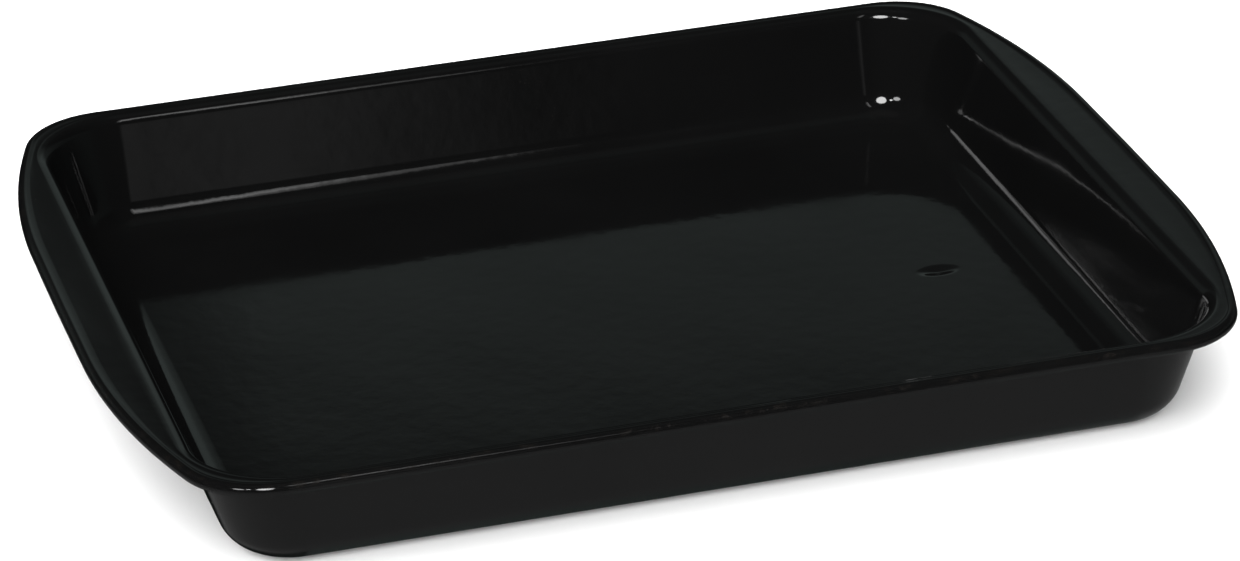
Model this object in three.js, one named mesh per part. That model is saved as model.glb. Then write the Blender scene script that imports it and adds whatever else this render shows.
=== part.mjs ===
// Enamelled sheet-steel tray with two carrying flanges, and the wire inside its rolled rim.
// Millimetres, +Z up. The origin is on the resting plane, under the centre of the tray.
// X runs along the tray, from one carrying flange to the other.

import * as THREE from 'three';
import { mergeVertices } from 'three/addons/utils/BufferGeometryUtils.js';

// ---- driving dimensions -----------------------------------------------------------------

const TRAY_LENGTH = 380;        // over the rolled rim, at the middle of each end
const TRAY_WIDTH = 312;         // over the rolled rim, on the long sides
const TRAY_HEIGHT = 39;         // resting plane to the top of the rim

const SHEET = 0.9;              // steel with enamel on both faces
const WALL_DRAFT = 18;          // degrees that the walls lean outwards
const FLOOR_FILLET = 12;        // inside radius between floor and wall
const LIP_BEND = 4.1;           // under radius where the wall turns out into the flange
const FLOOR_CORNER = 11.5;      // plan radius of the flat floor's corners
const END_FLANGE = 16.1;        // opening to rim edge, at the middle of each end
const SIDE_FLANGE = 3.6;        // opening to rim edge, on the long sides

const BEAD_RADIUS = 2.3;        // outside radius of the rolled edge
const BEAD_STAND = 0.25;        // how far the bead stands above the flange
const BEAD_TURN = 290;          // degrees that the sheet turns from the flange to its cut edge
const WIRE_RADIUS = 1.1;
const WIRE_JOINT = 0.8;         // gap between the two ends of the wire

const TAPER_START = 89;         // half the length of the end's nearly straight middle
const TAPER_RUN = 21.3;         // how far the taper at the corners runs in from the end
const TAPER_BLEND = 300;        // radius that joins the end's middle to its tapers
const RIM_CORNER = 30;          // plan radius of the rim's corners
const END_BOW = 0.4;            // how far the end's middle bows past the start of its tapers

// ---- mesh fineness ----------------------------------------------------------------------

const CORNER_STEPS = 10;
const END_STEPS = 14;
const SIDE_STEPS = 4;           // even, so that one step ends at the middle of the side
const FILLET_STEPS = 5;
const BEND_STEPS = 3;
const CURL_STEPS = 12;
const WIRE_SIDES = 10;
const OUTLINE_STEPS = 24;
const MERGE_DISTANCE = 1e-4;

// ---- plan outlines ----------------------------------------------------------------------

const radians = THREE.MathUtils.degToRad;
const quarterTurn = Math.PI / 2;

// The section's heights and reaches, measured outwards from the edge of the flat floor.
const draft = radians(WALL_DRAFT);
const lipRadius = LIP_BEND + SHEET;
const flangeTop = TRAY_HEIGHT - BEAD_STAND;
const beadHeight = TRAY_HEIGHT - BEAD_RADIUS;
const filletReach = FLOOR_FILLET * Math.cos(draft);
const filletTop = SHEET + FLOOR_FILLET * (1 - Math.sin(draft));
const wallTop = flangeTop - lipRadius * (1 - Math.sin(draft));
const wallReach = filletReach + (wallTop - filletTop) * Math.tan(draft);
const openingReach = wallReach + lipRadius * Math.cos(draft);
const floorHalfLength = TRAY_LENGTH / 2 - END_FLANGE - openingReach;
const floorHalfWidth = TRAY_WIDTH / 2 - SIDE_FLANGE - openingReach;

// Places round the flat floor's edge, each with its outward direction. Every ring of the
// tray's section is these places moved outwards, so the walls keep one section all round.
function floorEdge() {
  const places = [];
  const straightX = floorHalfLength - FLOOR_CORNER;
  const straightY = floorHalfWidth - FLOOR_CORNER;
  const corners = [[1, 1], [-1, 1], [-1, -1], [1, -1]];
  corners.forEach(([sideX, sideY], index) => {
    const centre = new THREE.Vector2(sideX * straightX, sideY * straightY);
    for (let step = 0; step <= CORNER_STEPS; step += 1) {
      const angle = (index + step / CORNER_STEPS) * quarterTurn;
      const out = new THREE.Vector2(Math.cos(angle), Math.sin(angle));
      places.push({ at: centre.clone().addScaledVector(out, FLOOR_CORNER), out });
    }
    const last = places[places.length - 1];
    const alongX = index % 2 === 0;
    const length = 2 * (alongX ? straightX : straightY);
    const steps = alongX ? SIDE_STEPS : END_STEPS;
    const ahead = new THREE.Vector2(-last.out.y, last.out.x);
    for (let step = 1; step < steps; step += 1) {
      const at = last.at.clone().addScaledVector(ahead, length * step / steps);
      places.push({ at, out: last.out.clone() });
    }
  });
  return places;
}

// The rim's outer edge: straight sides, tapered corners and nearly straight ends.
function rimOutline() {
  const halfLength = TRAY_LENGTH / 2;
  const halfWidth = TRAY_WIDTH / 2;
  const taperX = halfLength - TAPER_RUN;
  const corners = [
    [halfLength, 0, TAPER_BLEND],
    [halfLength - END_BOW, TAPER_START, TAPER_BLEND],
    [taperX, halfWidth, RIM_CORNER],
  ];
  const quarters = [[1, 1], [-1, 1], [-1, -1], [1, -1]];
  const turns = quarters.flatMap(([sideX, sideY], index) => {
    const quarter = corners.map(([x, y, radius]) => ({
      at: new THREE.Vector2(sideX * x, sideY * y),
      radius,
    }));
    return index % 2 === 0 ? quarter : quarter.reverse();
  });
  const distinct = turns.filter((turn, index) => {
    const before = turns[(index + turns.length - 1) % turns.length];
    return turn.at.distanceTo(before.at) > MERGE_DISTANCE;
  });
  return roundedPolygon(distinct);
}

// A closed outline whose vertices are rounded by arcs of the radii given with them.
function roundedPolygon(turns) {
  const outline = [];
  turns.forEach((turn, index) => {
    const before = turns[(index + turns.length - 1) % turns.length].at;
    const after = turns[(index + 1) % turns.length].at;
    const back = before.clone().sub(turn.at).normalize();
    const on = after.clone().sub(turn.at).normalize();
    const half = Math.acos(THREE.MathUtils.clamp(back.dot(on), -1, 1)) / 2;
    const tangent = turn.radius / Math.tan(half);
    const toCentre = back.clone().add(on).normalize();
    const centre = turn.at.clone().addScaledVector(toCentre, turn.radius / Math.sin(half));
    const start = turn.at.clone().addScaledVector(back, tangent).sub(centre).angle();
    const sweep = Math.PI - 2 * half;
    for (let step = 0; step <= OUTLINE_STEPS; step += 1) {
      const angle = start + sweep * step / OUTLINE_STEPS;
      outline.push(new THREE.Vector2(
        centre.x + turn.radius * Math.cos(angle),
        centre.y + turn.radius * Math.sin(angle),
      ));
    }
  });
  return outline;
}

// How far it is from a place inside a closed outline to the outline, in one direction.
function reachTo(outline, from, direction) {
  let nearest = Infinity;
  outline.forEach((start, index) => {
    const end = outline[(index + 1) % outline.length];
    const edge = end.clone().sub(start);
    const offset = start.clone().sub(from);
    const crossing = direction.cross(edge);
    if (Math.abs(crossing) < Number.EPSILON) return;
    const along = offset.cross(edge) / crossing;
    const share = offset.cross(direction) / crossing;
    const isCrossed = share >= 0 && share <= 1 && along > 0;
    if (isCrossed && along < nearest) nearest = along;
  });
  return nearest;
}

// For each place round the floor: the rim's outer edge beyond it, and the way out there.
function rimEdge(places) {
  const outline = rimOutline();
  const edge = places.map(({ at, out }) => {
    return at.clone().addScaledVector(out, reachTo(outline, at, out));
  });
  return edge.map((at, index) => {
    const before = edge[(index + edge.length - 1) % edge.length];
    const after = edge[(index + 1) % edge.length];
    const ahead = after.clone().sub(at).normalize().add(at.clone().sub(before).normalize());
    const out = new THREE.Vector2(ahead.y, -ahead.x).normalize();
    return { at, out };
  });
}

const floorPlaces = floorEdge();
const rimPlaces = rimEdge(floorPlaces);

// ---- rings ------------------------------------------------------------------------------

// A ring is one closed loop of points round the tray, at one point of its section.

function wallRing(reach, height) {
  return floorPlaces.map(({ at, out }) => (
    new THREE.Vector3(at.x + out.x * reach, at.y + out.y * reach, height)
  ));
}

// Rings near the rim are measured inwards from its outer edge, on the rim's own normals.
function rimRing(inset, height) {
  return rimPlaces.map(({ at, out }) => (
    new THREE.Vector3(at.x - out.x * inset, at.y - out.y * inset, height)
  ));
}

// Joins rings of the same length, each to the next, and closes the first and last flat.
function solidOfRings(rings) {
  const count = rings[0].length;
  const positions = rings.flat().flatMap((point) => [point.x, point.y, point.z]);
  const triangles = [];
  for (let ring = 0; ring < rings.length - 1; ring += 1) {
    for (let place = 0; place < count; place += 1) {
      const here = ring * count + place;
      const beside = ring * count + (place + 1) % count;
      triangles.push(here, beside + count, beside);
      triangles.push(here, here + count, beside + count);
    }
  }
  const last = (rings.length - 1) * count;
  for (let place = 1; place < count - 1; place += 1) {
    triangles.push(0, place, place + 1);
    triangles.push(last, last + place + 1, last + place);
  }
  return closedGeometry(positions, triangles);
}

function closedGeometry(positions, triangles) {
  const geometry = new THREE.BufferGeometry();
  geometry.setAttribute('position', new THREE.Float32BufferAttribute(positions, 3));
  geometry.setIndex(triangles);
  const merged = mergeVertices(geometry, MERGE_DISTANCE);
  merged.computeVertexNormals();
  return merged;
}

// ---- tray shell -------------------------------------------------------------------------

function arcSamples(steps, from, to) {
  const samples = [];
  for (let step = 0; step <= steps; step += 1) {
    samples.push(from + (to - from) * step / steps);
  }
  return samples;
}

// One face of the sheet from the flat floor up to the flange. The upper face is inside the
// tray; the under face is one sheet thickness away from it.
function wallFace(isUpper) {
  const fillet = isUpper ? FLOOR_FILLET : FLOOR_FILLET + SHEET;
  const lip = isUpper ? lipRadius : LIP_BEND;
  const filletCentre = SHEET + FLOOR_FILLET;
  const lipCentre = flangeTop - lipRadius;
  const rings = arcSamples(FILLET_STEPS, 0, quarterTurn - draft).map((angle) => (
    wallRing(fillet * Math.sin(angle), filletCentre - fillet * Math.cos(angle))
  ));
  arcSamples(BEND_STEPS, draft, quarterTurn).forEach((angle) => {
    const reach = openingReach - lip * Math.cos(angle);
    rings.push(wallRing(reach, lipCentre + lip * Math.sin(angle)));
  });
  return rings;
}

// The rolled edge: the sheet leaves the flange and turns down and under, round the wire.
// Its cut edge stops short of the flange's under face, so the roll stays open to the air.
// The upper face starts in the crease where the roll rises out of the flange.
function curlFace(isUpper) {
  const radius = isUpper ? BEAD_RADIUS : BEAD_RADIUS - SHEET;
  const crease = Math.acos((flangeTop - beadHeight) / BEAD_RADIUS);
  const first = quarterTurn + (isUpper ? crease : 0);
  const last = quarterTurn - radians(BEAD_TURN);
  return arcSamples(CURL_STEPS, first, last).map((angle) => (
    rimRing(BEAD_RADIUS - radius * Math.cos(angle), beadHeight + radius * Math.sin(angle))
  ));
}

function trayShell() {
  const upper = [...wallFace(true), ...curlFace(true)];
  const under = [...wallFace(false), ...curlFace(false)];
  return solidOfRings([...upper, ...under.reverse()]);
}

// ---- rim wire ---------------------------------------------------------------------------

// One length of wire bent into a hoop, with its two ends facing at the middle of the side.
function rimWire() {
  const sections = rimPlaces.map(({ at, out }) => ({
    centre: at.clone().addScaledVector(out, -BEAD_RADIUS),
    out,
  }));
  const middle = sections.findIndex(({ centre, out }) => (
    out.y > 0 && Math.abs(centre.x) < WIRE_JOINT / 2
  ));
  const endAt = (x) => ({
    centre: new THREE.Vector2(x, sections[middle].centre.y),
    out: sections[middle].out,
  });
  const bends = [...sections.slice(middle + 1), ...sections.slice(0, middle)];
  const hoop = [endAt(-WIRE_JOINT / 2), ...bends, endAt(WIRE_JOINT / 2)];
  return solidOfRings(hoop.map(({ centre, out }) => wireSection(centre, out)));
}

// The round section of the wire, as a ring that runs from the outer side over the top.
function wireSection(centre, out) {
  const ring = [];
  for (let side = 0; side < WIRE_SIDES; side += 1) {
    const angle = side / WIRE_SIDES * 2 * Math.PI;
    const level = Math.cos(angle) * WIRE_RADIUS;
    const rise = Math.sin(angle) * WIRE_RADIUS;
    ring.push(new THREE.Vector3(
      centre.x + out.x * level,
      centre.y + out.y * level,
      beadHeight + rise,
    ));
  }
  return ring;
}

// ---- assembly ---------------------------------------------------------------------------

function piece(name, geometry, finish) {
  const mesh = new THREE.Mesh(geometry, new THREE.MeshStandardMaterial(finish));
  mesh.name = name;
  return mesh;
}

const blackEnamel = { color: 0x141615, roughness: 0.12, metalness: 0 };
const drawnWire = { color: 0x8c8f92, roughness: 0.4, metalness: 1 };

const tray = new THREE.Group();
tray.add(piece('tray_shell', trayShell(), blackEnamel));
tray.add(piece('rim_wire', rimWire(), drawnWire));

export default tray;
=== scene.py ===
"""Gloss-black enamelled steel tray: fine surfaces, materials, light and camera.

Metres, +Z up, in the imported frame. The origin is under the tray's centre, on the plane that it
rests on, and X runs along the tray. The section is the CAD part's, at a finer step, with the
soft unevenness of pressed and fired sheet.
"""

import math

import bpy
import numpy as np
from mathutils import Matrix, Vector
from mathutils.geometry import delaunay_2d_cdt


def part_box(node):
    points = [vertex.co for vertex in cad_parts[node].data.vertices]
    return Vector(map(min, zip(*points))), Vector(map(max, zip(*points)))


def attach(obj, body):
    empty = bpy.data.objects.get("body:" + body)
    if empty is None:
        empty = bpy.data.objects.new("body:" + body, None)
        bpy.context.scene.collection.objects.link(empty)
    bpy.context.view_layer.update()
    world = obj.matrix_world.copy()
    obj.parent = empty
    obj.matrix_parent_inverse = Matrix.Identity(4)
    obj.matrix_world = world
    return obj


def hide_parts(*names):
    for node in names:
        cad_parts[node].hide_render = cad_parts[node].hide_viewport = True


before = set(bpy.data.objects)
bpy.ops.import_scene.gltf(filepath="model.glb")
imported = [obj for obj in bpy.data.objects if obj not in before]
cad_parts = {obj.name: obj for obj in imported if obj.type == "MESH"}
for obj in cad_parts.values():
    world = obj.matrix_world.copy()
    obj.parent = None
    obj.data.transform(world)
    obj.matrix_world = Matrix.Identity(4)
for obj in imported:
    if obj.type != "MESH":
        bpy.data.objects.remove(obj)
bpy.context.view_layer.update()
shell_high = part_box("tray_shell")[1]

# ---- the tray's dimensions, as in the CAD part -------------------------------------------

MM = 0.001

HALF_LENGTH = shell_high.x
HALF_WIDTH = shell_high.y
TRAY_HEIGHT = shell_high.z

SHEET = 0.9 * MM
WALL_DRAFT = math.radians(18)
FLOOR_FILLET = 12 * MM
LIP_BEND = 4.1 * MM
FLOOR_CORNER = 11.5 * MM
END_FLANGE = 16.1 * MM
SIDE_FLANGE = 3.6 * MM

BEAD_RADIUS = 2.3 * MM
BEAD_STAND = 0.25 * MM
BEAD_TURN = math.radians(290)
WIRE_RADIUS = 1.1 * MM
WIRE_JOINT = 0.8 * MM

TAPER_START = 89 * MM
TAPER_RUN = 21.3 * MM
TAPER_BLEND = 300 * MM
RIM_CORNER = 30 * MM
END_BOW = 0.4 * MM

# ---- unevenness of the real sheet --------------------------------------------------------

FLOOR_CROWN = 0.30 * MM         # how far the middle of the floor stands above its edge
FLOOR_RIPPLE = 0.05 * MM
WALL_RIPPLE = 0.10 * MM
FLANGE_RIPPLE = 0.05 * MM
FLOOR_FADE = 4                  # power by which the floor's unevenness fades towards its edge
WALL_RIPPLE_PLAN = 1.3          # how much wider the walls' places are taken on the ripple's plan
RIPPLE_WAVES = (                # wavelength, heading in degrees, phase in radians
    (143 * MM, 12, 0.4),
    (97 * MM, 71, 2.1),
    (71 * MM, 158, 4.0),
    (53 * MM, 35, 5.2),
)

DIMPLE_CENTRE = (119 * MM, 0.0)  # plain oval pressed into the floor
DIMPLE_HALF_LENGTH = 8.5 * MM
DIMPLE_HALF_WIDTH = 4.6 * MM
DIMPLE_DEPTH = 0.65 * MM
DIMPLE_SHOWS_BELOW = 0.2        # share of the depth that shows on the underside

# ---- mesh fineness -----------------------------------------------------------------------

CORNER_STEPS = 32
END_STEPS = 48
SIDE_STEPS = 36                 # even, so that one step ends at the middle of the side
OUTLINE_STEPS = 96
FILLET_STEPS = 14
WALL_STEPS = 6
BEND_STEPS = 12
FLANGE_STEPS = 6
CURL_STEPS = 28
CUT_STEPS = 6
WIRE_SIDES = 16
FLOOR_GRID = 7 * MM
FLOOR_MARGINS = (0.8 * MM, 2.5 * MM)
DIMPLE_RINGS = 16
DIMPLE_SPOKES = 48
DIMPLE_REACH = 1.3              # outermost ring of the dimple's fine mesh, in dimple radii
DIMPLE_GAP = 0.4                # between that ring and the floor's grid, in dimple radii
PARALLEL = 1e-15                # a crossing product under this means that two lines don't meet
SAME_PLACE = 1e-9               # corners closer than this are one
INSIDE_EDGES = 1                # triangulation's mode that keeps the faces inside the outline
SHARP_EDGE = math.radians(40)

# ---- plan outlines -----------------------------------------------------------------------

lip_radius = LIP_BEND + SHEET
flange_top = TRAY_HEIGHT - BEAD_STAND
bead_height = TRAY_HEIGHT - BEAD_RADIUS
fillet_reach = FLOOR_FILLET * math.cos(WALL_DRAFT)
fillet_top = SHEET + FLOOR_FILLET * (1 - math.sin(WALL_DRAFT))
wall_top = flange_top - lip_radius * (1 - math.sin(WALL_DRAFT))
wall_reach = fillet_reach + (wall_top - fillet_top) * math.tan(WALL_DRAFT)
opening_reach = wall_reach + lip_radius * math.cos(WALL_DRAFT)
floor_half_length = HALF_LENGTH - END_FLANGE - opening_reach
floor_half_width = HALF_WIDTH - SIDE_FLANGE - opening_reach


def floor_edge():
    """Places round the flat floor's edge, anticlockwise, and the way outwards at each."""
    straight_x = floor_half_length - FLOOR_CORNER
    straight_y = floor_half_width - FLOOR_CORNER
    places, ways = [], []
    for index, (side_x, side_y) in enumerate(((1, 1), (-1, 1), (-1, -1), (1, -1))):
        centre = np.array((side_x * straight_x, side_y * straight_y))
        for step in range(CORNER_STEPS + 1):
            angle = (index + step / CORNER_STEPS) * math.pi / 2
            out = np.array((math.cos(angle), math.sin(angle)))
            places.append(centre + FLOOR_CORNER * out)
            ways.append(out)
        along_x = index % 2 == 0
        steps = SIDE_STEPS if along_x else END_STEPS
        length = 2 * (straight_x if along_x else straight_y)
        last, out = places[-1], ways[-1]
        ahead = np.array((-out[1], out[0]))
        for step in range(1, steps):
            places.append(last + ahead * length * step / steps)
            ways.append(out)
    return np.array(places), np.array(ways)


def rounded_polygon(turns):
    """A closed outline whose vertices are rounded by arcs of the radii given with them."""
    outline = []
    for index, (at, radius) in enumerate(turns):
        back = turns[index - 1][0] - at
        ahead = turns[(index + 1) % len(turns)][0] - at
        back = back / np.linalg.norm(back)
        ahead = ahead / np.linalg.norm(ahead)
        half = math.acos(np.clip(back @ ahead, -1, 1)) / 2
        to_centre = (back + ahead) / np.linalg.norm(back + ahead)
        centre = at + to_centre * radius / math.sin(half)
        first = at + back * radius / math.tan(half) - centre
        start = math.atan2(first[1], first[0])
        for step in range(OUTLINE_STEPS + 1):
            angle = start + (math.pi - 2 * half) * step / OUTLINE_STEPS
            outline.append(centre + radius * np.array((math.cos(angle), math.sin(angle))))
    return np.array(outline)


def rim_outline():
    """The rim's outer edge: straight sides, tapered corners and nearly straight ends."""
    corners = (
        (HALF_LENGTH, 0.0, TAPER_BLEND),
        (HALF_LENGTH - END_BOW, TAPER_START, TAPER_BLEND),
        (HALF_LENGTH - TAPER_RUN, HALF_WIDTH, RIM_CORNER),
    )
    turns = []
    for side_x, side_y in ((1, 1), (-1, 1), (-1, -1), (1, -1)):
        forwards = side_x * side_y > 0
        for x, y, radius in corners if forwards else corners[::-1]:
            shared = y == 0 and not forwards
            if not shared:
                turns.append((np.array((side_x * x, side_y * y)), radius))
    return rounded_polygon(turns)


def reach_to(outline, start, way):
    """How far it is from a place inside a closed outline to the outline, in one direction."""
    edges = np.roll(outline, -1, axis=0) - outline
    offsets = outline - start
    crossing = way[0] * edges[:, 1] - way[1] * edges[:, 0]
    crossing[np.abs(crossing) < PARALLEL] = np.nan
    along = (offsets[:, 0] * edges[:, 1] - offsets[:, 1] * edges[:, 0]) / crossing
    share = (offsets[:, 0] * way[1] - offsets[:, 1] * way[0]) / crossing
    return along[(share >= 0) & (share <= 1) & (along > 0)].min()


def rim_edge(places, ways):
    """The rim's outer edge beyond each place round the floor, and the way outwards there."""
    outline = rim_outline()
    reaches = [reach_to(outline, at, out) for at, out in zip(places, ways)]
    edge = places + ways * np.array(reaches)[:, None]
    ahead = np.roll(edge, -1, axis=0) - edge
    ahead /= np.linalg.norm(ahead, axis=1)[:, None]
    ahead = ahead + np.roll(ahead, 1, axis=0)
    out = np.column_stack((ahead[:, 1], -ahead[:, 0]))
    return edge, out / np.linalg.norm(out, axis=1)[:, None]


floor_places, floor_ways = floor_edge()
rim_places, rim_ways = rim_edge(floor_places, floor_ways)
place_count = len(floor_places)

# ---- unevenness --------------------------------------------------------------------------


def ripple(x, y):
    """A smooth uneven surface, between -1 and 1, over the plan."""
    total = 0.0
    for wavelength, heading, phase in RIPPLE_WAVES:
        angle = math.radians(heading)
        along = x * math.cos(angle) + y * math.sin(angle)
        total = total + np.sin(2 * math.pi * along / wavelength + phase)
    return total / len(RIPPLE_WAVES)


def floor_lift(x, y):
    """How far the sheet of the floor stands above flat. It fades out at the floor's edge."""
    fade_x = 1 - (x / floor_half_length) ** FLOOR_FADE
    fade_y = 1 - (y / floor_half_width) ** FLOOR_FADE
    return fade_x * fade_y * (FLOOR_CROWN + FLOOR_RIPPLE * ripple(x, y))


def dimple_radius(x, y):
    """How far a place is from the middle of the oval, where 1 is its edge."""
    along = (x - DIMPLE_CENTRE[0]) / DIMPLE_HALF_LENGTH
    across = (y - DIMPLE_CENTRE[1]) / DIMPLE_HALF_WIDTH
    return np.hypot(along, across)


def dimple_sink(x, y):
    """How deep the oval is pressed: one smooth hollow."""
    share = np.clip(dimple_radius(x, y), 0, 1)
    return DIMPLE_DEPTH * (1 - share * share * (3 - 2 * share))


# ---- rings: one closed loop of points round the tray, at one point of its section --------


def wall_ring(reach, height, sway=0.0):
    """A ring measured outwards from the floor's edge. sway is its share of the unevenness."""
    plan = floor_places * WALL_RIPPLE_PLAN
    uneven = WALL_RIPPLE * sway * ripple(plan[:, 0], plan[:, 1])
    flat = floor_places + floor_ways * (reach + uneven)[:, None]
    return np.column_stack((flat, np.full(place_count, height)))


def rim_ring(inset, height):
    """A ring measured inwards from the rim's outer edge, on the rim's own normals."""
    flat = rim_places - rim_ways * inset
    return np.column_stack((flat, np.full(place_count, height)))


def wall_face(is_upper):
    """Rings of one face of the sheet, from the flat floor's edge up to the flange."""
    fillet = FLOOR_FILLET if is_upper else FLOOR_FILLET + SHEET
    lip = lip_radius if is_upper else LIP_BEND
    fillet_centre = SHEET + FLOOR_FILLET
    lip_centre = flange_top - lip_radius
    section = []
    for angle in np.linspace(0, math.pi / 2 - WALL_DRAFT, FILLET_STEPS + 1):
        section.append((fillet * math.sin(angle), fillet_centre - fillet * math.cos(angle)))
    bend = []
    for angle in np.linspace(WALL_DRAFT, math.pi / 2, BEND_STEPS + 1):
        bend.append((opening_reach - lip * math.cos(angle), lip_centre + lip * math.sin(angle)))
    foot, head = np.array(section[-1]), np.array(bend[0])
    section += [foot + (head - foot) * step / WALL_STEPS for step in range(1, WALL_STEPS)]
    section += bend
    rings = []
    for reach, height in section:
        share = np.clip(height / wall_top, 0, 1)
        rings.append(wall_ring(np.full(place_count, reach), height, math.sin(math.pi * share)))
    rings[0][:, 2] += floor_lift(rings[0][:, 0], rings[0][:, 1])
    return rings


def curl_point(radius, angle):
    """Inset and height of a point of the roll. The angle is 0 outwards and 90 degrees up."""
    return BEAD_RADIUS - radius * math.cos(angle), bead_height + radius * math.sin(angle)


middle_radius = BEAD_RADIUS - SHEET / 2
cut_angle = math.pi / 2 - BEAD_TURN + SHEET / 2 / middle_radius


def curl_face(is_upper):
    """Rings of one face of the rolled edge, from the flange to the rounded cut edge."""
    radius = BEAD_RADIUS if is_upper else BEAD_RADIUS - SHEET
    crease = math.acos((flange_top - bead_height) / BEAD_RADIUS)
    first = math.pi / 2 + (crease if is_upper else 0)
    return [rim_ring(*curl_point(radius, angle))
            for angle in np.linspace(first, cut_angle, CURL_STEPS + 1)]


def cut_edge():
    """Rings round the sheet's cut edge inside the roll, which the fired enamel makes round."""
    inset, height = curl_point(middle_radius, cut_angle)
    rings = []
    for step in range(1, CUT_STEPS):
        angle = math.pi * step / CUT_STEPS
        out = math.cos(angle) * math.cos(cut_angle) + math.sin(angle) * math.sin(cut_angle)
        up = math.cos(angle) * math.sin(cut_angle) - math.sin(angle) * math.cos(cut_angle)
        rings.append(rim_ring(inset - out * SHEET / 2, height + up * SHEET / 2))
    return rings


def flange_face(inner, outer):
    """Rings between the lip bend and the roll. The unevenness only sinks them."""
    rings = []
    for step in range(1, FLANGE_STEPS):
        share = step / FLANGE_STEPS
        ring = inner + (outer - inner) * share
        sinking = ripple(ring[:, 1], ring[:, 0]) - 1
        ring[:, 2] += FLANGE_RIPPLE * math.sin(math.pi * share) * sinking
        rings.append(ring)
    return rings


# ---- flat floor --------------------------------------------------------------------------


def inside_distance(x, y):
    """How far a place on the floor is from the floor's edge."""
    over_x = abs(x) - (floor_half_length - FLOOR_CORNER)
    over_y = abs(y) - (floor_half_width - FLOOR_CORNER)
    corner = math.hypot(max(over_x, 0), max(over_y, 0))
    return FLOOR_CORNER - corner - min(max(over_x, over_y), 0)


def floor_points():
    """Places inside the floor's edge: two close margins, a staggered grid and the dimple."""
    points = []
    for margin in FLOOR_MARGINS:
        points += [tuple(place) for place in floor_places - floor_ways * margin]
    rows = int(floor_half_width / FLOOR_GRID) + 1
    columns = int(floor_half_length / FLOOR_GRID) + 1
    for row in range(-rows, rows + 1):
        for column in range(-columns, columns + 1):
            x = (column + row % 2 / 2) * FLOOR_GRID
            y = row * FLOOR_GRID
            clear_of_edge = inside_distance(x, y) > FLOOR_MARGINS[-1] + FLOOR_GRID / 2
            if clear_of_edge and dimple_radius(x, y) > DIMPLE_REACH + DIMPLE_GAP:
                points.append((x, y))
    for ring in range(1, DIMPLE_RINGS + 1):
        radius = DIMPLE_REACH * ring / DIMPLE_RINGS
        for spoke in range(DIMPLE_SPOKES):
            angle = 2 * math.pi * (spoke + ring % 2 / 2) / DIMPLE_SPOKES
            x = DIMPLE_CENTRE[0] + DIMPLE_HALF_LENGTH * radius * math.cos(angle)
            y = DIMPLE_CENTRE[1] + DIMPLE_HALF_WIDTH * radius * math.sin(angle)
            points.append((x, y))
    points.append(DIMPLE_CENTRE)
    return points


def floor_triangles(inner):
    """Triangles over the floor: numbers under place_count are places round its edge."""
    corners = [Vector(place) for place in floor_places] + [Vector(point) for point in inner]
    edges = [(place, (place + 1) % place_count) for place in range(place_count)]
    made = delaunay_2d_cdt(corners, edges, [], INSIDE_EDGES, SAME_PLACE)
    faces, sources = made[2], made[3]
    return [[sources[corner][0] for corner in face] for face in faces]


# ---- tray shell --------------------------------------------------------------------------


def new_piece(name, points, faces):
    """A smooth-shaded object in the scene, with creases kept sharp."""
    mesh = bpy.data.meshes.new(name)
    mesh.from_pydata([tuple(point) for point in points], [], faces)
    mesh.validate()
    mesh.shade_smooth()
    mesh.set_sharp_from_angle(angle=SHARP_EDGE)
    piece = bpy.data.objects.new(name, mesh)
    bpy.context.scene.collection.objects.link(piece)
    return piece


def ring_faces(ring_count, count):
    """Four-sided faces between closed rings that follow each other, of count points each."""
    faces = []
    for ring in range(ring_count - 1):
        for place in range(count):
            here = ring * count + place
            beside = ring * count + (place + 1) % count
            faces.append((here, here + count, beside + count, beside))
    return faces


def tray_shell():
    """The whole pressed sheet, both faces, closed at the cut edge inside the roll."""
    upper_wall, upper_curl = wall_face(True), curl_face(True)
    under_wall, under_curl = wall_face(False), curl_face(False)
    upper = upper_wall + flange_face(upper_wall[-1], upper_curl[0]) + upper_curl
    under = under_wall + flange_face(under_wall[-1], under_curl[0]) + under_curl
    rings = upper + cut_edge() + under[::-1]
    thin = thin_enamel(len(upper_wall), len(upper), len(rings))
    points = list(np.concatenate(rings))
    faces = ring_faces(len(rings), place_count)

    inner = floor_points()
    plan = np.array(inner)
    lift = floor_lift(plan[:, 0], plan[:, 1])
    sink = dimple_sink(plan[:, 0], plan[:, 1])
    upper_start = len(points)
    points += list(np.column_stack((plan, SHEET + lift - sink)))
    under_start = len(points)
    points += list(np.column_stack((plan, lift - DIMPLE_SHOWS_BELOW * sink)))
    last_ring = (len(rings) - 1) * place_count
    for face in floor_triangles(inner):
        top = [c if c < place_count else upper_start + c - place_count for c in face]
        below = [last_ring + c if c < place_count else under_start + c - place_count for c in face]
        faces.append(top)
        faces.append(below[::-1])

    piece = new_piece("tray_shell_enamelled", points, faces)
    shares = np.zeros(len(points), np.float32)
    shares[:len(thin) * place_count] = np.repeat(thin, place_count)
    attribute = piece.data.attributes.new("thin_enamel", "FLOAT", "POINT")
    attribute.data.foreach_set("value", shares)
    return piece


LIP_THINNING = 0.55             # at the middle of the lip bend
ROLL_THINNEST = 0.22            # where over the roll, as a share of its turn from the flange
ROLL_THIN_SPAN = 0.60           # share of the roll's turn over which it is thin


def thin_enamel(wall_count, upper_count, total):
    """For each ring, how thin the enamel has run there: at the lip, over the roll, at the cut."""
    thin = np.zeros(total, np.float32)
    for ring in range(BEND_STEPS + 1):
        thin[wall_count - 1 - ring] = LIP_THINNING * math.sin(math.pi * ring / BEND_STEPS)
    first = upper_count - CURL_STEPS - 1
    for ring in range(CURL_STEPS + 1):
        off_thinnest = ring / CURL_STEPS - ROLL_THINNEST
        if abs(off_thinnest) < ROLL_THIN_SPAN / 2:
            thin[first + ring] = math.cos(math.pi * off_thinnest / ROLL_THIN_SPAN)
    thin[upper_count - 2:upper_count + CUT_STEPS + 1] = 1
    return thin


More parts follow.
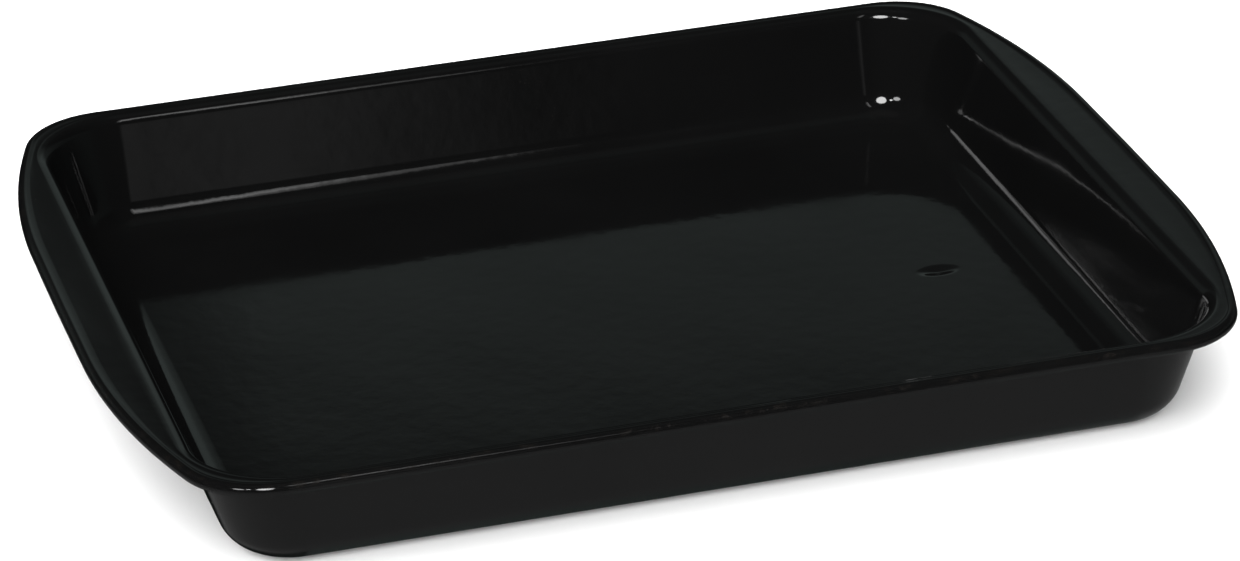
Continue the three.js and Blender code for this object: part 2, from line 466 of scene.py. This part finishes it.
# ---- rim wire ----------------------------------------------------------------------------


def rim_wire():
    """One hoop of round wire inside the roll, its ends facing at the middle of the +Y side."""
    centres = rim_places - rim_ways * BEAD_RADIUS
    near_middle = (rim_ways[:, 1] > 0) & (np.abs(centres[:, 0]) < WIRE_JOINT / 2)
    middle = int(np.flatnonzero(near_middle)[0])
    order = [*range(middle + 1, place_count), *range(middle)]
    end_way, end_y = rim_ways[middle], centres[middle, 1]
    centres = [(-WIRE_JOINT / 2, end_y), *centres[order], (WIRE_JOINT / 2, end_y)]
    ways = [end_way, *rim_ways[order], end_way]
    points = []
    for (x, y), out in zip(centres, ways):
        for side in range(WIRE_SIDES):
            angle = 2 * math.pi * side / WIRE_SIDES
            level = WIRE_RADIUS * math.cos(angle)
            rise = WIRE_RADIUS * math.sin(angle)
            points.append((x + out[0] * level, y + out[1] * level, bead_height + rise))
    faces = ring_faces(len(centres), WIRE_SIDES)
    faces.append(list(range(WIRE_SIDES)))
    faces.append(list(range(len(points) - 1, len(points) - 1 - WIRE_SIDES, -1)))
    return new_piece("rim_wire_drawn", points, faces)


# ---- node trees --------------------------------------------------------------------------

MIX_FIRST, MIX_SECOND, MIX_RESULT = 6, 7, 2     # numbers of the Mix node's colour sockets


def grey(level, tint=(1.0, 1.0, 1.0)):
    return tuple(level * share for share in tint) + (1.0,)


class Nodes:
    """A node tree in the making."""

    def __init__(self, tree):
        self.tree = tree

    def node(self, kind, inputs=None, **settings):
        """A new node. inputs holds values, or other nodes' outputs, by socket name or number."""
        made = self.tree.nodes.new(kind)
        for key, value in settings.items():
            setattr(made, key, value)
        for socket, value in (inputs or {}).items():
            if isinstance(value, bpy.types.NodeSocket):
                self.tree.links.new(value, made.inputs[socket])
            else:
                made.inputs[socket].default_value = value
        return made

    def spread(self, value, low, high, to_low=0.0, to_high=1.0):
        """The value, taken from the range low to high to another range, and kept inside it."""
        inputs = {"Value": value, "From Min": low, "From Max": high, "To Min": to_low,
                  "To Max": to_high}
        return self.node("ShaderNodeMapRange", inputs, clamp=True).outputs["Result"]

    def math(self, operation, first, second):
        made = self.node("ShaderNodeMath", {0: first, 1: second}, operation=operation)
        return made.outputs["Value"]

    def mix(self, share, first, second):
        inputs = {"Factor": share, MIX_FIRST: first, MIX_SECOND: second}
        return self.node("ShaderNodeMix", inputs, data_type="RGBA").outputs[MIX_RESULT]

    def ramp(self, value, stops):
        """A grey level that follows value through the stops, each a value and its level."""
        low, high = stops[0][0], stops[-1][0]
        made = self.node("ShaderNodeValToRGB", {"Fac": self.spread(value, low, high)})
        marks = made.color_ramp.elements
        while len(marks) < len(stops):
            marks.new(0.5)
        for mark, (at, level) in zip(marks, stops):
            mark.position = (at - low) / (high - low)
            mark.color = grey(level)
        return made.outputs["Color"]


class Surface(Nodes):
    """A procedural material in the making: its node tree and its Principled shader."""

    def __init__(self, name):
        self.material = bpy.data.materials.new(name)
        self.material.use_nodes = True
        super().__init__(self.material.node_tree)
        self.shader = self.tree.nodes["Principled BSDF"]
        self.place = self.node("ShaderNodeTexCoord").outputs["Object"]

    def noise(self, scale, detail=2.0, roughness=0.5, place=None):
        inputs = {"Vector": place or self.place, "Scale": scale, "Detail": detail,
                  "Roughness": roughness}
        return self.node("ShaderNodeTexNoise", inputs).outputs["Fac"]

    def stretched(self, scale, turn):
        """The surface's places, scaled by axis and turned about Z, for streaks."""
        inputs = {"Vector": self.place, "Scale": scale, "Rotation": (0, 0, math.radians(turn))}
        return self.node("ShaderNodeMapping", inputs).outputs["Vector"]

    def bump(self, height, distance, below=None):
        inputs = {"Height": height, "Distance": distance, "Strength": 1.0}
        if below is not None:
            inputs["Normal"] = below
        return self.node("ShaderNodeBump", inputs).outputs["Normal"]

    def set(self, **values):
        """Sets the shader's sockets, named with underscores for spaces, or links them."""
        for name, value in values.items():
            socket = self.shader.inputs[name.replace("_", " ")]
            if isinstance(value, bpy.types.NodeSocket):
                self.tree.links.new(value, socket)
            else:
                socket.default_value = value


# ---- materials: noise scales are in cycles per metre -------------------------------------

ENAMEL_DARK = grey(0.0017, (0.99, 1.0, 1.01))
ENAMEL_PALE = grey(0.0021, (0.99, 1.0, 1.01))
ENAMEL_WORN = grey(0.0032, (1.15, 1.0, 0.88))
PINHOLE_COLOUR = grey(0.007, (1.15, 1.0, 0.88))
ENAMEL_IOR = 1.5
CLOUD_SCALE = 14
PINHOLE_SCALE = 520
PINHOLE_PATCH_SCALE = 60
PINHOLE_DEPTH = 0.01 * MM
PINHOLE_ROUGHNESS = 0.2
WEAR_SCALE = 260
WEAR_ROUGHNESS = 0.16
SMUDGE_SCALE = 22
SMUDGE_ROUGHNESS = (0.055, 0.11)
RUB_STRETCH = (60, 1400, 60)
RUB_TURN = 24
RUB_ROUGHNESS = 0.06
ORANGE_PEEL_SCALE = 150
ORANGE_PEEL_HEIGHT = 0.030 * MM
GRAIN_SCALE = 900
GRAIN_HEIGHT = 0.0015 * MM

WIRE_STEEL = grey(0.42, (0.97, 1.0, 1.05))
WIRE_OXIDE = grey(0.09, (1.1, 1.0, 0.95))
OXIDE_SCALE = 180
WIRE_MOTTLE_SCALE = 420
WIRE_ROUGHNESS = (0.28, 0.52)
DRAW_LINE_STRETCH = (30, 4000, 4000)
DRAW_LINE_DEPTH = 0.01 * MM

STAGE_TONES = (grey(0.80), grey(0.83))
STAGE_TONE_SCALE = 3
STAGE_ROUGHNESS = 0.9


def black_enamel():
    """Fired gloss-black enamel: soft orange peel, faint clouding, pinholes, thin worn edges."""
    enamel = Surface("black_enamel")
    cloud = enamel.spread(enamel.noise(CLOUD_SCALE, 3), 0.35, 0.65)
    colour = enamel.mix(cloud, ENAMEL_DARK, ENAMEL_PALE)
    cells = {"Vector": enamel.place, "Scale": PINHOLE_SCALE}
    specks = enamel.node("ShaderNodeTexVoronoi", cells).outputs["Distance"]
    pinhole = enamel.spread(specks, 0.05, 0.11, 1, 0)
    chance = enamel.spread(enamel.noise(PINHOLE_PATCH_SCALE, 2), 0.60, 0.66)
    pinhole = enamel.math("MULTIPLY", pinhole, chance)
    colour = enamel.mix(pinhole, colour, PINHOLE_COLOUR)

    thin = enamel.node("ShaderNodeAttribute", attribute_name="thin_enamel").outputs["Fac"]
    patchy = enamel.spread(enamel.noise(WEAR_SCALE, 5, 0.65), 0.30, 0.72)
    worn = enamel.spread(enamel.math("MULTIPLY", thin, patchy), 0.50, 0.90)
    colour = enamel.mix(worn, colour, ENAMEL_WORN)

    smudge = enamel.spread(enamel.noise(SMUDGE_SCALE, 4, 0.6), 0.42, 0.75, *SMUDGE_ROUGHNESS)
    streak = enamel.noise(1.0, 3, 0.6, enamel.stretched(RUB_STRETCH, RUB_TURN))
    rub = enamel.spread(streak, 0.62, 0.78, 0.0, RUB_ROUGHNESS)
    roughness = enamel.math("ADD", smudge, rub)
    wear = enamel.math("MULTIPLY", worn, WEAR_ROUGHNESS)
    roughness = enamel.math("ADD", roughness, wear)
    pitting = enamel.math("MULTIPLY", pinhole, PINHOLE_ROUGHNESS)
    roughness = enamel.math("ADD", roughness, pitting)

    normal = enamel.bump(enamel.noise(ORANGE_PEEL_SCALE, 2, 0.45), ORANGE_PEEL_HEIGHT)
    normal = enamel.bump(enamel.noise(GRAIN_SCALE, 1, 0.5), GRAIN_HEIGHT, normal)
    normal = enamel.bump(enamel.math("MULTIPLY", pinhole, -1), PINHOLE_DEPTH, normal)
    enamel.set(Base_Color=colour, Roughness=roughness, Normal=normal, IOR=ENAMEL_IOR)
    return enamel.material


def steel_wire():
    """Drawn steel that went through the furnace: fine draw lines under a patchy dark oxide."""
    steel = Surface("steel_wire")
    oxide = steel.spread(steel.noise(OXIDE_SCALE, 4, 0.6), 0.38, 0.64)
    colour = steel.mix(oxide, WIRE_STEEL, WIRE_OXIDE)
    roughness = steel.spread(steel.noise(WIRE_MOTTLE_SCALE, 3), 0.3, 0.7, *WIRE_ROUGHNESS)
    lines = steel.noise(1.0, 2, 0.5, steel.stretched(DRAW_LINE_STRETCH, 0))
    normal = steel.bump(lines, DRAW_LINE_DEPTH)
    steel.set(Base_Color=colour, Roughness=roughness, Normal=normal, Metallic=1.0)
    return steel.material


def pale_floor():
    floor = Surface("pale_floor")
    tone = floor.spread(floor.noise(STAGE_TONE_SCALE, 2), 0.3, 0.7)
    colour = floor.mix(tone, *STAGE_TONES)
    floor.set(Base_Color=colour, Roughness=STAGE_ROUGHNESS, Specular_IOR_Level=0.0)
    return floor.material


def pale_glow():
    glow = bpy.data.materials.new("pale_backdrop")
    glow.use_nodes = True
    nodes = glow.node_tree.nodes
    nodes.clear()
    emission = nodes.new("ShaderNodeEmission")
    emission.inputs["Strength"].default_value = BACKDROP_LEVEL
    output = nodes.new("ShaderNodeOutputMaterial")
    glow.node_tree.links.new(emission.outputs["Emission"], output.inputs["Surface"])
    return glow


# ---- studio ------------------------------------------------------------------------------

STAGE_REACH = 30.0
BACKDROP_HEIGHT = 20.0
BACKDROP_SIDES = 48
BACKDROP_LEVEL = 1.1
CEILING_STRENGTH = 9.5
CEILING_SPREAD = math.radians(110)
CEILING_WAY = (-0.42, -0.50, 1.0)

# Lamps that only the gloss shows. Azimuth runs from +Y towards +X. All angles are in degrees:
# azimuth, elevation, width and height as seen from the tray, and then the luminance.
LAMP_DISTANCE = 6.0
LAMPS = {
    "lamp_high": (-162.0, 38.0, 17.0, 24.0, 16.0),
    "lamp_side": (-130.5, 29.5, 12.0, 12.0, 9.5),
    "lamp_small": (-141.3, 36.2, 5.0, 4.4, 24.0),
    "panel_near": (166.4, 49.2, 1.9, 20.0, 2.3),
    "panel_faint": (163.8, 49.2, 3.2, 20.0, 0.9),
}

# The room that the enamel reflects. Each pair is the height of the way looked, from -1 down
# to 1 up, and the level there: on the near side of the tray, and on its far side.
NEAR_LEVELS = ((-1.0, 0.20), (-0.40, 0.20), (-0.15, 0.03), (0.30, 0.025), (0.92, 0.012),
               (0.97, 0.05), (1.0, 0.06))
FAR_LEVELS = ((-1.0, 0.14), (-0.93, 0.09), (-0.67, 0.02), (0.0, 0.03), (0.12, 0.20),
              (0.33, 0.20), (0.40, 0.108), (0.435, 0.082), (0.46, 0.031), (0.60, 0.015),
              (0.92, 0.012), (0.97, 0.05), (1.0, 0.06))
FAR_TINT = (0.88, 1.055, 1.01)
TURN_TO_FAR = 0.35      # the sides blend while the way's x and y add up to 0 to this

# A bright opening on the near side, by the way's x and its height.
OPENING_ACROSS = ((-1.0, 0.0), (0.125, 0.0), (0.170, 1.0), (0.180, 1.0), (0.190, 0.8),
                  (0.215, 0.3), (0.240, 0.0), (1.0, 0.0))
OPENING_UP = ((-1.0, 0.0), (0.0, 0.0), (0.02, 0.20), (0.26, 0.20), (0.32, 0.0), (1.0, 0.0))

# Pale ground past both ends of the tray, which its outer corners reflect.
ENDS_ACROSS = ((-1.0, 1.0), (-0.30, 1.0), (-0.15, 0.0), (0.28, 0.0), (0.42, 1.0), (1.0, 1.0))
ENDS_UP = ((-1.0, 0.19), (-0.42, 0.19), (-0.25, 0.0), (1.0, 0.0))

# Shares of the far side's levels above, by the way's x and by its y.
FAR_ACROSS = ((-1.0, 0.35), (0.140, 0.36), (0.158, 0.60), (0.172, 1.09), (0.20, 1.08),
              (0.28, 0.94), (0.40, 0.85), (0.55, 0.25), (1.0, 0.2))
FAR_AHEAD = ((-1.0, 1.0), (0.90, 1.0), (0.93, 0.1), (1.0, 0.05))


def add_stage():
    """A wide pale floor, and a pale backdrop that only the camera sees past its edge."""
    reach = STAGE_REACH
    corners = [(-reach, -reach, 0), (reach, -reach, 0), (reach, reach, 0), (-reach, reach, 0)]
    floor = new_piece("stage_floor", corners, [(0, 1, 2, 3)])
    floor.data.materials.append(pale_floor())
    floor.visible_glossy = False
    points = []
    for height in (-BACKDROP_HEIGHT, BACKDROP_HEIGHT):
        for side in range(BACKDROP_SIDES):
            angle = 2 * math.pi * side / BACKDROP_SIDES
            points.append((reach * math.cos(angle), reach * math.sin(angle), height))
    backdrop = new_piece("stage_backdrop", points, ring_faces(2, BACKDROP_SIDES))
    backdrop.data.materials.append(pale_glow())
    backdrop.visible_diffuse = False
    backdrop.visible_glossy = False
    backdrop.visible_shadow = False


def add_light(light, way):
    """Puts a light at the lamps' distance, in one direction from the tray, facing it."""
    holder = bpy.data.objects.new(light.name, light)
    bpy.context.scene.collection.objects.link(holder)
    holder.location = way * LAMP_DISTANCE
    holder.rotation_euler = way.to_track_quat("Z", "Y").to_euler()
    return holder


def add_lights():
    """A soft ceiling that lights everything but the gloss, and lamps for the gloss alone."""
    ceiling = bpy.data.lights.new("ceiling", "SUN")
    ceiling.energy = CEILING_STRENGTH
    ceiling.angle = CEILING_SPREAD
    add_light(ceiling, Vector(CEILING_WAY).normalized()).visible_glossy = False
    for name, (azimuth, elevation, width, height, luminance) in LAMPS.items():
        azimuth, elevation = math.radians(azimuth), math.radians(elevation)
        level = math.cos(elevation)
        way = Vector((math.sin(azimuth) * level, math.cos(azimuth) * level, math.sin(elevation)))
        lamp = bpy.data.lights.new(name, "AREA")
        lamp.shape = "ELLIPSE"
        lamp.size = math.radians(width) * LAMP_DISTANCE
        lamp.size_y = math.radians(height) * LAMP_DISTANCE
        face = math.pi / 4 * lamp.size * lamp.size_y
        lamp.energy = luminance * math.pi * face
        add_light(lamp, way).visible_diffuse = False


def add_room():
    """A dim room, pale below the horizon, with one bright opening on the near side."""
    world = bpy.data.worlds.new("room")
    world.use_nodes = True
    bpy.context.scene.world = world
    room = Nodes(world.node_tree)
    way = room.node("ShaderNodeTexCoord").outputs["Generated"]
    split = room.node("ShaderNodeSeparateXYZ", {"Vector": way})
    across, ahead, up = split.outputs["X"], split.outputs["Y"], split.outputs["Z"]
    opening = room.math("MULTIPLY", room.ramp(across, OPENING_ACROSS), room.ramp(up, OPENING_UP))
    near = room.math("ADD", room.ramp(up, NEAR_LEVELS), opening)
    far = room.math("MULTIPLY", room.ramp(across, FAR_ACROSS), room.ramp(up, FAR_LEVELS))
    far = room.math("MULTIPLY", far, room.ramp(ahead, FAR_AHEAD))
    far = room.mix(far, grey(0.0), grey(1.0, FAR_TINT))
    ends = room.math("MULTIPLY", room.ramp(across, ENDS_ACROSS), room.ramp(up, ENDS_UP))
    far = room.mix(ends, far, grey(1.0))
    side = room.math("ADD", across, ahead)
    colour = room.mix(room.spread(side, 0.0, TURN_TO_FAR), near, far)
    world.node_tree.links.new(colour, world.node_tree.nodes["Background"].inputs["Color"])


# ---- camera ------------------------------------------------------------------------------

CAMERA_AZIMUTH = math.radians(15.314)
CAMERA_DEPRESSION = math.radians(24.929)
CAMERA_ROLL = math.radians(-2.062)
CAMERA_DISTANCE = 1833.77 * MM
CAMERA_ASIDE = 3.571 * MM
CAMERA_RAISE = 14.826 * MM
CAMERA_LENS = 155.37
SENSOR_WIDTH = 36.0
CLIP_END = 200.0


def add_camera():
    """A camera set back from the origin along its own view, then shifted aside and up."""
    level = math.cos(CAMERA_DEPRESSION)
    ahead = Vector((math.sin(CAMERA_AZIMUTH) * level, math.cos(CAMERA_AZIMUTH) * level,
                    -math.sin(CAMERA_DEPRESSION)))
    right = Vector((math.cos(CAMERA_AZIMUTH), -math.sin(CAMERA_AZIMUTH), 0))
    up = right.cross(ahead)
    turned_right = right * math.cos(CAMERA_ROLL) + up * math.sin(CAMERA_ROLL)
    turned_up = up * math.cos(CAMERA_ROLL) - right * math.sin(CAMERA_ROLL)
    place = turned_right * CAMERA_ASIDE + turned_up * CAMERA_RAISE - ahead * CAMERA_DISTANCE
    axes = Matrix((turned_right, turned_up, -ahead)).transposed().to_4x4()
    data = bpy.data.cameras.new("camera")
    data.lens = CAMERA_LENS
    data.sensor_width = SENSOR_WIDTH
    data.clip_end = CLIP_END
    camera = bpy.data.objects.new("camera", data)
    camera.matrix_world = Matrix.Translation(place) @ axes
    bpy.context.scene.collection.objects.link(camera)
    bpy.context.scene.camera = camera


# ---- assembly ----------------------------------------------------------------------------

shell = tray_shell()
shell.data.materials.append(black_enamel())
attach(shell, "root")
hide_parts("tray_shell")

wire = rim_wire()
wire.data.materials.append(steel_wire())
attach(wire, "root")
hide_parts("rim_wire")

add_camera()
add_stage()
add_lights()
add_room()
bpy.context.scene.view_settings.view_transform = "Standard"
